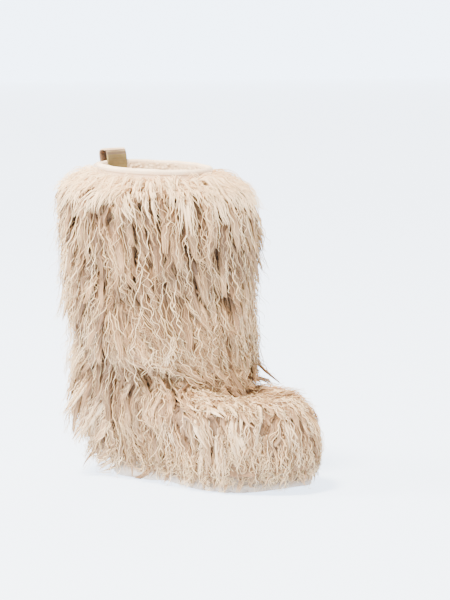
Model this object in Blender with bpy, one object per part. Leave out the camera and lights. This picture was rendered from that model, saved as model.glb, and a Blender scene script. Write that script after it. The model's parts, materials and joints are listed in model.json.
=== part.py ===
"""Right mukluk boot: a hollow upper on a moulded sole, covered all over in deep curly fur.

The toe points to -Y, the outer (little toe) side is -X and the inner side is +X. The floor is z = 0.
The origin lies under the middle of the heel, on the floor.
"""

import math
import random

import bmesh
import bpy
import numpy as np

MM = 0.001

# Sole
SOLE_LENGTH = 254 * MM
BALL_WIDTH = 94 * MM
HEEL_WIDTH = 67 * MM
HEEL_CENTRE = 33 * MM
HEEL_STACK = 24 * MM
BALL_STACK = 16 * MM
TOE_SPRING = 8 * MM
ARCH_LIFT = 3 * MM
TOE_SWING = 6 * MM
TOE_ROUND = 62 * MM
EDGE_CHAMFER = 1.6 * MM
RIB_DEPTH = 1.3 * MM
TREAD_DEPTH = 3 * MM
GROOVE_WIDTH = 4.5 * MM
CHEVRON_DEPTH = 9 * MM

# Upper
UPPER_WALL = 2.2 * MM
UPPER_INSET = 3 * MM
TOE_HEIGHT = 57 * MM
INSTEP_HEIGHT = 85 * MM
COLLAR_HEIGHT = 306 * MM
COLLAR_DIP = 6 * MM
COLLAR_LENGTH = 125 * MM
COLLAR_WIDTH = 103 * MM
ANKLE_LENGTH = 119 * MM
ANKLE_WIDTH = 84 * MM
SHAFT_LEAN = 12 * MM

# Insole
INSOLE_THICKNESS = 4 * MM

# Collar binding and pull loop
BINDING_THICKNESS = 1.2 * MM
BINDING_DROP = 9 * MM
BEAD_RADIUS = 2.6 * MM
BEAD_SQUASH = 1.1
LOOP_WIDTH = 27 * MM
LOOP_RISE = 15.5 * MM
LOOP_OPENING = 8 * MM
LOOP_THICKNESS = 1.8 * MM
LOOP_LEG = 13 * MM

# Fur
SHAFT_FUR_DEPTH = 42 * MM
FOOT_FUR_DEPTH = 30 * MM
SKIRT_DROP = 9 * MM
SKIRT_DEPTH = 9 * MM
SHAFT_LOCK_LENGTH = 78 * MM
FOOT_LOCK_LENGTH = 46 * MM
SHAFT_LOCK_RADIUS = 8 * MM
FOOT_LOCK_RADIUS = 6 * MM
LOCK_STEPS = 5
LOWEST_TIP = 4 * MM
LOCK_SIDES = 3
# Half the parting between the two furs, as a share of a section
FUR_SEAM = 0.015
# How far the parting opens from the skin to the shaft fur's hem
HEM_GAP = 7 * MM

GAP = 0.3 * MM

# Points round each section, and the seed of the locks
AROUND = 32
SEED = 7

# Half widths of the sole along its length: 0 is half the heel width, 1 is half the ball width
SOLE_SIDES = (
    # station, outer side, inner side
    (0.00, 0.00, 0.00),
    (0.20, 0.02, -0.04),
    (0.35, 0.18, -0.26),
    (0.48, 0.48, -0.12),
    (0.60, 0.86, 0.42),
    (0.70, 1.00, 0.88),
    (0.80, 0.90, 1.00),
    (0.90, 0.62, 0.92),
    (1.00, 0.40, 0.70),
)

# Sections of the upper, from the sole to the collar. Each is a slanting ring from a point on the back to a point
# on the front. front and back are shares of the sole's length from the heel, or of the section's own length.
# zone and rise give the front's height within its zone, and back_rise is the back's height up to the collar.
# round mixes the sole's outline (0) with the shaft's oval (1), and full is its width against that outline.
UPPER_SECTIONS = (
    # zone, rise, front, back, back_rise, round, full, front_round
    ("toe", 0.00, 0.985, 0.012, 0.000, 0.00, 1.00, 1.00),
    ("toe", 0.36, 0.990, 0.004, 0.055, 0.00, 1.02, 1.00),
    ("toe", 0.70, 0.972, 0.002, 0.110, 0.00, 1.02, 1.00),
    ("toe", 0.92, 0.938, 0.003, 0.170, 0.03, 0.99, 0.95),
    ("vamp", 0.09, 0.880, 0.007, 0.235, 0.08, 0.97, 0.90),
    ("vamp", 0.24, 0.803, 0.014, 0.300, 0.16, 0.97, 0.88),
    ("vamp", 0.43, 0.724, 0.018, 0.355, 0.28, 0.99, 0.90),
    ("vamp", 0.66, 0.650, 0.018, 0.410, 0.45, 1.00, 0.95),
    ("vamp", 0.96, 0.583, 0.014, 0.462, 0.66, 1.00, 1.00),
    ("shaft", 0.08, 0.533, 0.008, 0.515, 0.84, 1.00, 1.00),
    ("shaft", 0.19, 0.506, 0.000, 0.572, 0.96, 1.00, 1.00),
    ("shaft", 0.31, 0.495, -0.008, 0.635, 1.00, 1.00, 1.00),
    ("shaft", 0.45, 0.492, -0.018, 0.706, 1.00, 1.00, 1.00),
    ("shaft", 0.60, 0.494, -0.026, 0.780, 1.00, 1.00, 1.00),
    ("shaft", 0.76, 0.497, -0.032, 0.862, 1.00, 1.00, 1.00),
    ("shaft", 0.89, 0.499, -0.035, 0.936, 1.00, 1.00, 1.00),
    ("shaft", 1.00, 0.500, -0.036, 1.000, 1.00, 1.00, 1.00),
)
SPLIT_SECTION = 8

# Depth of the fur along the sections, as shares of its full depth at the front and at the back
FUR_DEPTHS = (
    # fur, section, front, back
    ("foot", 0.0, 0.28, 0.62),
    ("foot", 1.0, 0.40, 0.96),
    ("foot", 2.0, 0.60, 1.32),
    ("foot", 3.0, 0.92, 1.52),
    ("foot", 4.0, 1.10, 1.62),
    ("foot", 5.5, 0.72, 1.64),
    ("foot", 7.0, 0.42, 1.60),
    ("foot", 8.0, 0.32, 1.56),
    ("shaft", 8.0, 0.66, 1.14),
    ("shaft", 9.0, 0.90, 1.10),
    ("shaft", 10.0, 0.98, 1.05),
    ("shaft", 12.0, 0.99, 1.00),
    ("shaft", 14.0, 1.06, 1.02),
    ("shaft", 15.0, 1.08, 1.06),
    ("shaft", 15.3, 0.94, 0.94),
    ("shaft", 15.5, 0.66, 0.66),
)
SIDE_THINNING = 0.22


def smooth(share):
    """0 to 1 with level ends."""
    share = min(max(share, 0.0), 1.0)
    return share * share * (3 - 2 * share)


def curve_through(places, values, at):
    """A smooth curve through the values, read at one place."""
    last = len(places) - 1
    i = min(max(int(np.searchsorted(places, at, side="right")) - 1, 0), last - 1)

    def slope(k):
        low, high = max(k - 1, 0), min(k + 1, last)
        return (values[high] - values[low]) / (places[high] - places[low])

    span = places[i + 1] - places[i]
    s = min(max((at - places[i]) / span, 0.0), 1.0)
    return (
        values[i] * (2 * s**3 - 3 * s**2 + 1)
        + values[i + 1] * (3 * s**2 - 2 * s**3)
        + slope(i) * span * (s**3 - 2 * s**2 + s)
        + slope(i + 1) * span * (s**3 - s**2)
    )


# Sole

STATIONS = [row[0] for row in SOLE_SIDES]
OUTER_SIDE = [row[1] for row in SOLE_SIDES]
INNER_SIDE = [row[2] for row in SOLE_SIDES]


def y_at(station):
    """The place along the boot of a share of the sole's length from the back of the heel."""
    return HEEL_CENTRE - station * SOLE_LENGTH


def sole_half_width(station, inner):
    weight = curve_through(STATIONS, INNER_SIDE if inner else OUTER_SIDE, station)
    return HEEL_WIDTH / 2 + weight * (BALL_WIDTH - HEEL_WIDTH) / 2


def swing(station):
    """How far the foot's middle line has swung to the inner side."""
    return TOE_SWING * smooth((station - 0.5) / 0.5)


def tread_height(station):
    """The underside: flat under heel and ball, lifted at the arch and the toe."""
    arch = math.sin(math.pi * min(max((station - 0.30) / 0.26, 0.0), 1.0)) ** 2
    return ARCH_LIFT * arch + TOE_SPRING * max((station - 0.76) / 0.24, 0.0) ** 2


def sole_top(station):
    """The top of the sole, from the heel down to the ball and up with the toe."""
    drop = smooth((station - 0.26) / 0.36)
    return HEEL_STACK + (BALL_STACK - HEEL_STACK) * drop + TOE_SPRING * max((station - 0.70) / 0.30, 0.0) ** 2


def round_end(distance, radius):
    """1 away from an end, falling to 0 at it as an arc does."""
    return math.sqrt(max(1 - max(1 - distance / radius, 0.0) ** 2, 0.0))


def turns(count=AROUND):
    """Angles round a section: 0 at the back, half a turn at the front, the outer side first."""
    return [2 * math.pi * j / count for j in range(count)]


def sole_ring(inset, height):
    """A ring with the sole's outline drawn in by inset, at the height that height(station) gives."""
    points = []
    for turn in turns():
        station = (1 - math.cos(turn)) / 2
        inner = math.sin(turn) < 0
        along = SOLE_LENGTH * station
        cap = round_end(along, HEEL_WIDTH / 2) * round_end(SOLE_LENGTH - along, TOE_ROUND)
        half = sole_half_width(station, inner) * cap
        points.append([swing(station) + (half if inner else -half), y_at(station), station])
    points = np.array(points)
    ahead, behind = np.roll(points, -1, axis=0), np.roll(points, 1, axis=0)
    run = (ahead - behind)[:, :2]
    run /= np.linalg.norm(run, axis=1)[:, None]
    moved = points[:, :2] + inset * np.stack([-run[:, 1], run[:, 0]], axis=1)
    stations = (HEEL_CENTRE - moved[:, 1]) / SOLE_LENGTH
    return [(x, y, height(s)) for (x, y), s in zip(moved, stations)]


# Upper


def zone_height(zone, rise):
    """A height at the boot's front, from a share of its zone."""
    low, high = {
        "toe": (sole_top(1.0) + GAP, TOE_HEIGHT),
        "vamp": (TOE_HEIGHT, INSTEP_HEIGHT),
        "shaft": (INSTEP_HEIGHT, COLLAR_HEIGHT),
    }[zone]
    return low + rise * (high - low)


def section_columns():
    """The upper's sections in metres, as columns of front, back, heights, oval, width and roundness."""
    rows = []
    heel_top = sole_top(0.0) + GAP
    back_top = COLLAR_HEIGHT + COLLAR_DIP
    for zone, rise, front, back, back_rise, oval, full, front_round in UPPER_SECTIONS:
        front_y, back_y = y_at(front), y_at(back)
        if zone == "shaft":
            middle = (y_at(0.5) + y_at(0.0)) / 2
            length = ANKLE_LENGTH + smooth(rise / 0.9) * (COLLAR_LENGTH - ANKLE_LENGTH)
            straight = smooth((rise - 0.08) / 0.11)
            lean = SHAFT_LEAN * rise
            front_y += straight * (middle - length / 2 + lean - front_y)
            back_y += straight * (middle + length / 2 + lean - back_y)
            width = ANKLE_WIDTH + smooth(rise / 0.9) * (COLLAR_WIDTH - ANKLE_WIDTH)
        else:
            width = ANKLE_WIDTH
        rows.append(
            (
                front_y,
                zone_height(zone, rise),
                back_y,
                heel_top + back_rise * (back_top - heel_top),
                oval,
                full,
                front_round,
                width,
            )
        )
    return [list(column) for column in zip(*rows)]


SECTION_NUMBERS = list(range(len(UPPER_SECTIONS)))
COLLAR_SECTION = SECTION_NUMBERS[-1]
COLUMNS = section_columns()


def upper_point(turn, section):
    """A point on the upper's outer face. section is a row number of UPPER_SECTIONS, or between two."""
    front_y, front_z, back_y, back_z, oval, full, front_round, width = (
        curve_through(SECTION_NUMBERS, column, section) for column in COLUMNS
    )
    share = (1 - math.cos(turn)) / 2
    inner = math.sin(turn) < 0
    y = back_y + share * (front_y - back_y)
    z = back_z + share * (front_z - back_z)
    station = (HEEL_CENTRE - y) / SOLE_LENGTH
    length = back_y - front_y
    cap = round_end(share * length, HEEL_WIDTH / 2)
    cap *= round_end((1 - share) * length, TOE_ROUND * front_round)
    foot = (sole_half_width(station, inner) - UPPER_INSET) * full * cap
    shaft = width / 2 * abs(math.sin(turn))
    half = foot + oval * (shaft - foot)
    middle = swing(station) * (1 - oval)
    if section < 1:
        z += (1 - section) * (sole_top(station) + GAP - z)
    return np.array([middle + (half if inner else -half), y, z])


def outward(place, turn, section):
    """The direction away from a surface that place(turn, section) gives."""
    step = 0.02
    low, high = max(section - step, 0.0), min(section + step, COLLAR_SECTION)
    # Beside the middle line a wider step keeps the direction from turning too soon.
    along = place(turn + 3 * step, section) - place(turn - 3 * step, section)
    up = place(turn, high) - place(turn, low)
    normal = np.cross(along, up)
    return normal / np.linalg.norm(normal)


def upper_offset(turn, section, distance):
    return upper_point(turn, section) + distance * outward(upper_point, turn, section)


def upper_face(turn, section, distance):
    """A point off one of the flat faces that join the upper's rings."""
    step = 2 * math.pi / AROUND
    j, n = math.floor(turn / step + 1e-9), math.floor(section)
    u, v = turn / step - j, section - n
    spot = np.zeros(3)
    for corner, row, weight in (
        (j, n, (1 - u) * (1 - v)),
        (j + 1, n, u * (1 - v)),
        (j, n + 1, (1 - u) * v),
        (j + 1, n + 1, u * v),
    ):
        if weight > 1e-9:
            spot += weight * upper_offset(corner * step, row, distance)
    return spot


def upper_ring(section, distance):
    return [upper_face(turn, section, distance) for turn in turns()]


def whole_sections(low, high):
    """The section numbers from low to high, with every whole one between them."""
    return [low, *range(math.floor(low) + 1, math.ceil(high)), high]


# Meshes


def finish(name, mesh, material):
    """Makes a smooth-shaded object of a bmesh, with its faces pointing out."""
    bmesh.ops.recalc_face_normals(mesh, faces=mesh.faces)
    if mesh.calc_volume(signed=True) < 0:
        bmesh.ops.reverse_faces(mesh, faces=mesh.faces)
    data = bpy.data.meshes.new(name)
    mesh.to_mesh(data)
    mesh.free()
    data.shade_smooth()
    data.set_sharp_from_angle(angle=math.radians(38))
    data.materials.append(material)
    obj = bpy.data.objects.new(name, data)
    bpy.context.scene.collection.objects.link(obj)
    return obj


def add_rings(mesh, rings, closed_round):
    """Skins neighbouring rings. With closed_round, the last ring joins the first."""
    made = [[mesh.verts.new(point) for point in ring] for ring in rings]
    pairs = list(zip(made, made[1:]))
    if closed_round:
        pairs.append((made[-1], made[0]))
    for low, high in pairs:
        # The same diagonal whichever way the rings run keeps facing skins an even distance apart.
        rising = sum(v.co.z for v in low) <= sum(v.co.z for v in high)
        for j in range(len(low)):
            k = (j + 1) % len(low)
            if rising:
                mesh.faces.new((low[j], low[k], high[k]))
                mesh.faces.new((low[j], high[k], high[j]))
            else:
                mesh.faces.new((low[j], low[k], high[j]))
                mesh.faces.new((low[k], high[k], high[j]))
    return made


def band(name, rings, material):
    """A hollow solid: its rings run up one face, over an edge, down the other face and under."""
    mesh = bmesh.new()
    add_rings(mesh, rings, closed_round=True)
    return finish(name, mesh, material)


def slab(name, rings, material):
    """A full solid of stacked rings, closed at both ends by strips from side to side."""
    mesh = bmesh.new()
    made = add_rings(mesh, rings, closed_round=False)
    for ring in (made[0], made[-1]):
        count = len(ring)
        for j in range(count // 2):
            corners = [ring[j], ring[j + 1], ring[-j - 1], ring[-j % count]]
            mesh.faces.new(list(dict.fromkeys(corners)))
    return finish(name, mesh, material)


def material(name, colour, roughness):
    made = bpy.data.materials.new(name)
    made.use_nodes = True
    shader = made.node_tree.nodes["Principled BSDF"]
    shader.inputs["Base Color"].default_value = (*colour, 1)
    shader.inputs["Roughness"].default_value = roughness
    shader.inputs["Metallic"].default_value = 0.0
    return made


def hide_tool(tool):
    tool.hide_render = True
    tool.display_type = "WIRE"


def cut_with(obj, tool):
    step = obj.modifiers.new(tool.name, "BOOLEAN")
    step.operation = "DIFFERENCE"
    step.solver = "EXACT"
    step.object = tool
    hide_tool(tool)


def fuse_with(obj, name, tools):
    """Fuses a group of solids onto obj, which may cross one another."""
    group = bpy.data.collections.new(name)
    for tool in tools:
        group.objects.link(tool)
        hide_tool(tool)
    step = obj.modifiers.new(name, "BOOLEAN")
    step.operation = "UNION"
    step.solver = "EXACT"
    step.operand_type = "COLLECTION"
    step.collection = group


# Outsole and insole


def between(low, high, share):
    return lambda station: low(station) + share * (high(station) - low(station))


def add_groove(mesh, station):
    """One V-shaped bar across the sole, deep enough to cut a tread groove."""
    reach = BALL_WIDTH
    top = tread_height(station) + TREAD_DEPTH
    bottom = -2 * TREAD_DEPTH
    y, x = y_at(station), swing(station)
    outline = [
        (x - reach, y + CHEVRON_DEPTH),
        (x, y),
        (x + reach, y + CHEVRON_DEPTH),
        (x + reach, y + CHEVRON_DEPTH + GROOVE_WIDTH),
        (x, y + GROOVE_WIDTH),
        (x - reach, y + CHEVRON_DEPTH + GROOVE_WIDTH),
    ]
    low = [mesh.verts.new((*p, bottom)) for p in outline]
    high = [mesh.verts.new((*p, top)) for p in outline]
    for half in ((0, 1, 4, 5), (1, 2, 3, 4)):
        mesh.faces.new([low[i] for i in reversed(half)])
        mesh.faces.new([high[i] for i in half])
    for j in range(len(outline)):
        k = (j + 1) % len(outline)
        mesh.faces.new((low[j], low[k], high[k], high[j]))


GROOVE_STATIONS = (0.085, 0.215, 0.275, 0.56, 0.625, 0.69, 0.755, 0.82, 0.885, 0.945)


def make_outsole(rubber):
    """The moulded sole: chamfered foot edge, one rib groove round its side, and V-shaped tread lugs."""
    steps = (
        # share of the side's height, inset
        (0.00, EDGE_CHAMFER),
        (0.10, 0.0),
        (0.46, 0.0),
        (0.52, RIB_DEPTH),
        (0.62, RIB_DEPTH),
        (0.68, 0.0),
        (0.93, 0.0),
        (1.00, EDGE_CHAMFER / 2),
    )
    rings = [sole_ring(inset, between(tread_height, sole_top, share)) for share, inset in steps]
    outsole = slab("outsole", rings, rubber)
    grooves = bmesh.new()
    for station in GROOVE_STATIONS:
        add_groove(grooves, station)
    cut_with(outsole, finish("tread_grooves", grooves, rubber))
    return outsole


def make_insole(felt):
    """The footbed, lying on the sole inside the upper."""
    inset = UPPER_INSET + UPPER_WALL + 2 * GAP + EDGE_CHAMFER
    rings = [
        sole_ring(inset, lambda s: sole_top(s) + GAP),
        sole_ring(inset, lambda s: sole_top(s) + GAP + INSOLE_THICKNESS * 0.8),
        sole_ring(inset + INSOLE_THICKNESS * 0.4, lambda s: sole_top(s) + GAP + INSOLE_THICKNESS),
    ]
    return slab("insole", rings, felt)


def make_upper(skin):
    """The hollow boot shell: one wall, open at the collar and underneath."""
    outer = [upper_ring(n, 0) for n in SECTION_NUMBERS]
    inner = [upper_ring(n, -UPPER_WALL) for n in reversed(SECTION_NUMBERS)]
    return band("upper", outer + inner, skin)


# Collar binding and pull loop


SECTION_RISE = (COLLAR_HEIGHT - INSTEP_HEIGHT) * (UPPER_SECTIONS[-1][1] - UPPER_SECTIONS[-2][1])
BEAD_TOP = GAP + BINDING_THICKNESS + BEAD_RADIUS


def collar_spot(turn, out, up):
    """A point beside the collar's edge (up below 0) or over it (up above 0), out from its outer face."""
    spot = upper_face(turn, COLLAR_SECTION + min(up, 0.0) / SECTION_RISE, out)
    spot[2] += max(up, 0.0)
    return spot


def binding_profile():
    """The binding's cut: a rolled bead on two legs that straddle the upper's edge. Distance out, height."""
    middle = -UPPER_WALL / 2
    bead = []
    arc = range(7)
    for i in arc:
        a = math.radians(-15 + 210 * i / arc[-1])
        across = BEAD_SQUASH * BEAD_RADIUS * math.cos(a)
        bead.append((middle + across, BEAD_TOP - BEAD_RADIUS + BEAD_RADIUS * math.sin(a)))
    outer, inner = GAP, -UPPER_WALL - GAP
    leg = BINDING_THICKNESS
    return [
        (outer, -BINDING_DROP),
        (outer + leg, -BINDING_DROP),
        *bead,
        (inner - leg, -BINDING_DROP),
        (inner, -BINDING_DROP),
        (inner, GAP),
        (outer, GAP),
    ]


def make_binding(cloth):
    """The rolled edge that runs round the collar."""
    rings = [[collar_spot(turn, out, up) for turn in turns()] for out, up in binding_profile()]
    return band("collar_binding", rings, cloth)


def loop_profile():
    """The pull loop's middle line over the binding: up the outside, round the open top, down the inside."""
    out = BEAD_SQUASH * BEAD_RADIUS + GAP + LOOP_THICKNESS / 2
    middle = -UPPER_WALL / 2
    crown = LOOP_RISE - LOOP_OPENING / 2
    line = [(middle + out, -LOOP_LEG + LOOP_THICKNESS), (middle + out, 0.0), (middle + out, BEAD_TOP)]
    arc = range(7)
    half = max(out, LOOP_OPENING / 2)
    for i in arc:
        a = math.pi * i / arc[-1]
        line.append((middle + half * math.cos(a), crown + LOOP_OPENING / 2 * math.sin(a)))
    return line + [(middle - out, BEAD_TOP), (middle - out, 0.0), (middle - out, -LOOP_LEG)]


def make_pull_loop(webbing):
    """The wide folded strap at the back of the collar."""
    line = np.array(loop_profile())
    run = np.gradient(line, axis=0)
    run /= np.linalg.norm(run, axis=1)[:, None]
    side = np.stack([-run[:, 1], run[:, 0]], axis=1) * LOOP_THICKNESS / 2
    outline = np.concatenate([line + side, (line - side)[::-1]])
    end, step = math.asin(LOOP_WIDTH / COLLAR_WIDTH), 2 * math.pi / AROUND
    rings = []
    for turn in (-end, -step, 0, step, end):
        ring = []
        for out, up in outline:
            spot = collar_spot(turn, out, up)
            # Above the binding the strap straightens out.
            free = smooth((up - BEAD_TOP) / (LOOP_RISE - BEAD_TOP))
            spot[1] += 0.9 * free * (collar_spot(0, out, up)[1] - spot[1])
            ring.append(spot)
        rings.append(ring)
    mesh = bmesh.new()
    made = add_rings(mesh, rings, closed_round=False)
    for ring in (made[0], made[-1]):
        count = len(ring)
        for j in range(count // 2 - 1):
            mesh.faces.new((ring[j], ring[j + 1], ring[-j - 2], ring[-j - 1]))
    return finish("pull_loop", mesh, webbing)


# Fur


def fur_depth(turn, section, fur):
    """How deep the fur stands on the upper at a place."""
    rows = [row for row in FUR_DEPTHS if row[0] == fur]
    places = [row[1] for row in rows]
    front = curve_through(places, [row[2] for row in rows], section)
    back = curve_through(places, [row[3] for row in rows], section)
    share = (1 - math.cos(turn)) / 2
    depth = back + share * (front - back)
    if fur == "foot":
        depth *= FOOT_FUR_DEPTH * (1 - SIDE_THINNING * math.sin(turn) ** 2)
    else:
        depth *= SHAFT_FUR_DEPTH
    # Clumps stand a little proud of the partings between them.
    return depth * (1 + 0.07 * math.sin(9 * turn + 1.7 * section) + 0.045 * math.sin(5 * turn - 2.3 * section))


def fur_point(fur, turn, section, distance=0.0):
    """A point on the fur's outer face, or further out by distance."""
    return upper_offset(turn, section, fur_depth(turn, section, fur) + distance)


def make_lock(rng, name, fur, turn, section, length, radius, coat):
    """One tapered, crimped lock, its root sunk in the fur and its tip curling free below."""
    phase = rng.uniform(0, 2 * math.pi)
    waves = rng.uniform(1.1, 1.6)
    drift = rng.uniform(-0.10, 0.10)
    lowest, hem = (0.5, LOWEST_TIP) if fur == "foot" else (SPLIT_SECTION + 0.5, 0.0)
    ending = fur_point(fur, turn, lowest)
    room = np.linalg.norm(fur_point(fur, turn, section) - ending)
    if hem:
        room += ending[2] - hem
    length = min(length, 0.96 * room)
    line = []
    place, hang = section, 0.0
    for i in range(LOCK_STEPS + 1):
        s = i / LOCK_STEPS
        sway = 0.55 * radius * math.sin(phase + 2 * math.pi * waves * s) * min(1.0, 2 * s)
        beside = fur_point(fur, turn + 0.05, place) - fur_point(fur, turn - 0.05, place)
        at = turn + drift * s + sway * 0.1 / np.linalg.norm(beside)
        rise = radius * (-0.8 + 1.05 * smooth(1.5 * s) + 0.45 * smooth((s - 0.6) / 0.4))
        line.append(fur_point(fur, at, place, rise) - np.array([0, 0, hang]))
        below = fur_point(fur, turn, place) - fur_point(fur, turn, place - 0.1)
        step = 0.1 * length / LOCK_STEPS / np.linalg.norm(below)
        if place - step < lowest:
            hang += length / LOCK_STEPS * (1 - (place - lowest) / step)
        place = max(place - step, lowest)
    line = np.array(line)
    run = np.gradient(line, axis=0)
    run /= np.linalg.norm(run, axis=1)[:, None]
    rings = []
    out = outward(upper_point, turn, max(section - 1, 0.5))
    for i, (point, ahead) in enumerate(zip(line, run)):
        s = i / LOCK_STEPS
        thick = radius * (0.72 + 0.45 * math.sin(math.pi * min(1.4 * s, 1.0))) * (1 - 0.8 * s**1.8)
        across = np.cross(ahead, out)
        across /= np.linalg.norm(across)
        face = np.cross(across, ahead)
        ring = []
        for k in range(LOCK_SIDES):
            a = math.pi / 2 + 2 * math.pi * k / LOCK_SIDES
            ring.append(point + thick * (math.cos(a) * across + 0.8 * math.sin(a) * face))
        rings.append(ring)
    mesh = bmesh.new()
    made = add_rings(mesh, rings, closed_round=False)
    mesh.faces.new(list(reversed(made[0])))
    mesh.faces.new(made[-1])
    return finish(name, mesh, coat)


def add_locks(body, fur, tiers, count, length, radius, coat):
    """Fuses staggered tiers of locks onto a fur body."""
    rng = random.Random(SEED)
    locks = []
    for tier, section in enumerate(tiers):
        for j in range(count):
            turn = 2 * math.pi * (j + 0.5 * (tier % 2) + rng.uniform(-0.15, 0.15)) / count
            start = section + rng.uniform(-0.15, 0.15)
            reach = length * rng.uniform(0.88, 1.08)
            locks.append(make_lock(rng, f"{fur}_lock_{tier}_{j}", fur, turn, start, reach, radius, coat))
    fuse_with(body, f"{fur}_locks", locks)


def make_shaft_fur(coat):
    """The deep fur sleeve from the collar down over the ankle."""
    split, top = SPLIT_SECTION + FUR_SEAM, 15.5
    levels = [split, 9, 10, 11, 12, 13, 14, 14.8, 15.3, top]
    outer = [[fur_point("shaft", turn, level) for turn in turns()] for level in levels]
    outer[0] = [spot + np.array([0, 0, HEM_GAP]) for spot in outer[0]]
    inner = [upper_ring(level, GAP) for level in reversed(whole_sections(split, top))]
    body = band("shaft_fur", outer + inner, coat)
    add_locks(body, "shaft", (14.7, 13.2, 11.8, 10.6), 11, SHAFT_LOCK_LENGTH, SHAFT_LOCK_RADIUS, coat)
    return body


def make_foot_fur(coat):
    """The shorter fur over heel, sides, vamp and toe. Its skirt hangs over the sole's edge."""
    split = SPLIT_SECTION - FUR_SEAM
    levels = [0.6, 1.4, 2.2, 3, 4, 5.2, 6.6, split]
    skirt = [
        sole_ring(-SKIRT_DEPTH, lambda s: sole_top(s) - SKIRT_DROP + 2 * MM),
        sole_ring(-SKIRT_DEPTH * 0.6, lambda s: sole_top(s) - SKIRT_DROP),
        sole_ring(-2 * GAP, lambda s: sole_top(s) - SKIRT_DROP * 0.9),
        sole_ring(-2 * GAP, lambda s: sole_top(s) + GAP),
    ]
    outer = [[fur_point("foot", turn, level) for turn in turns()] for level in reversed(levels)]
    outer[0] = [spot - np.array([0, 0, HEM_GAP / 2]) for spot in outer[0]]
    inner = [upper_ring(level, GAP) for level in whole_sections(0.5, split)]
    body = band("foot_fur", outer + skirt + inner, coat)
    add_locks(body, "foot", (7.2, 4.8, 2.9), 13, FOOT_LOCK_LENGTH, FOOT_LOCK_RADIUS, coat)
    return body


def main():
    for obj in list(bpy.data.objects):
        bpy.data.objects.remove(obj)
    make_outsole(material("cream_rubber", (0.74, 0.66, 0.57), 0.6))
    make_insole(material("fleece", (0.82, 0.74, 0.64), 0.95))
    make_upper(material("suede_skin", (0.78, 0.68, 0.57), 0.9))
    make_binding(material("binding_cloth", (0.86, 0.79, 0.69), 0.8))
    make_pull_loop(material("webbing", (0.56, 0.47, 0.31), 0.75))
    coat = material("curly_fur", (0.76, 0.65, 0.53), 0.9)
    make_foot_fur(coat)
    make_shaft_fur(coat)


main()
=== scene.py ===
"""Right mukluk boot, dressed: curly fur, fleece lining, corded collar, webbing loop and moulded sole."""

import json
import math

import bmesh
import bpy
import numpy as np
from mathutils import Matrix, Vector
from mathutils.bvhtree import BVHTree

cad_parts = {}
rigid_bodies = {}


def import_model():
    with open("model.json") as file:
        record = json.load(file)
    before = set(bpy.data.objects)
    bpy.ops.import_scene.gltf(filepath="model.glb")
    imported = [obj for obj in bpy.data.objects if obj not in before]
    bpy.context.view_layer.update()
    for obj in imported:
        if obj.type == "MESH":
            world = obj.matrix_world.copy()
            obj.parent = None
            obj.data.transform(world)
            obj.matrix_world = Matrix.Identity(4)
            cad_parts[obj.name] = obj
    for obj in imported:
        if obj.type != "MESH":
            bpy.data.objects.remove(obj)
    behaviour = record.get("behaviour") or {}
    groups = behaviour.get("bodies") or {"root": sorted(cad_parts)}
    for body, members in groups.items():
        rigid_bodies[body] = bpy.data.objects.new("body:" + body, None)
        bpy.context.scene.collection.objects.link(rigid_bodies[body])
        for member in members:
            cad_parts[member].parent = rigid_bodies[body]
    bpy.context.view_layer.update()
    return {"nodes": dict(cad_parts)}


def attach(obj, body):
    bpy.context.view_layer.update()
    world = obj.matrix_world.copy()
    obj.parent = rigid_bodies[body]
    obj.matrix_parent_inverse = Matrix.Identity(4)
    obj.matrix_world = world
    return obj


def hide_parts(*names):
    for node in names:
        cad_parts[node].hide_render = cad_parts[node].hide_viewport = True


MM = 0.001
TURN = 2 * math.pi

# The upper's top edge: its height at the front, where that front lies, and its rise towards the back
RIM_FRONT = 306.0 * MM
RIM_START = -81.2 * MM
RIM_SLOPE = 6.1 / 125.1

# The collar's opening, and how far the binding's top stands above the upper's edge
COLLAR_MIDDLE = -18.6 * MM
COLLAR_HALF_WIDTH = 50.4 * MM
COLLAR_HALF_DEPTH = 61.5 * MM
BINDING_RISE = 4.1 * MM

# A lock's tone is one of fifty places across its paint, and the last ten are for the pale fluff
TONES = 50
CURLY_TONE = 28
PALE_TONE = 40

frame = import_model()
node = frame["nodes"]


# Selecting and modelling helpers


def deselect_all():
    for thing in bpy.context.view_layer.objects:
        thing.select_set(False)


def work_on(piece):
    deselect_all()
    piece.select_set(True)
    bpy.context.view_layer.objects.active = piece


def rim_height(y):
    """The height of the upper's top edge at a distance y along the boot."""
    return RIM_FRONT + (y - RIM_START) * RIM_SLOPE


def copy_of(name, piece_name):
    """A copy of a solid of the boot with its doubled corners merged."""
    piece = node[name].copy()
    piece.data = node[name].data.copy()
    piece.name = piece_name
    piece.data.name = piece_name
    piece.parent = None
    for key in list(piece.keys()):
        del piece[key]
    bpy.context.scene.collection.objects.link(piece)
    work_on(piece)
    bpy.ops.object.mode_set(mode="EDIT")
    bpy.ops.mesh.select_all(action="SELECT")
    bpy.ops.mesh.remove_doubles(threshold=0.02 * MM)
    bpy.ops.mesh.normals_make_consistent(inside=False)
    bpy.ops.object.mode_set(mode="OBJECT")
    return piece


def apply_modifier(piece, kind, **settings):
    work_on(piece)
    modifier = piece.modifiers.new(kind.title(), kind)
    for key, value in settings.items():
        setattr(modifier, key, value)
    bpy.ops.object.modifier_apply(modifier=modifier.name)


def smooth_look(piece, degrees=40):
    work_on(piece)
    bpy.ops.object.shade_smooth_by_angle(angle=math.radians(degrees))


def finish_piece(piece, slot, *stands_for):
    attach(piece, "root")
    if stands_for:
        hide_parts(*stands_for)


def give(piece, material):
    piece.data.materials.clear()
    piece.data.materials.append(material)


def points_of(piece):
    co = np.zeros(len(piece.data.vertices) * 3, np.float32)
    piece.data.vertices.foreach_get("co", co)
    return co.reshape(-1, 3).astype(float)


def put_points(piece, points):
    piece.data.vertices.foreach_set("co", np.asarray(points, np.float32).ravel())
    piece.data.update()


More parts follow.
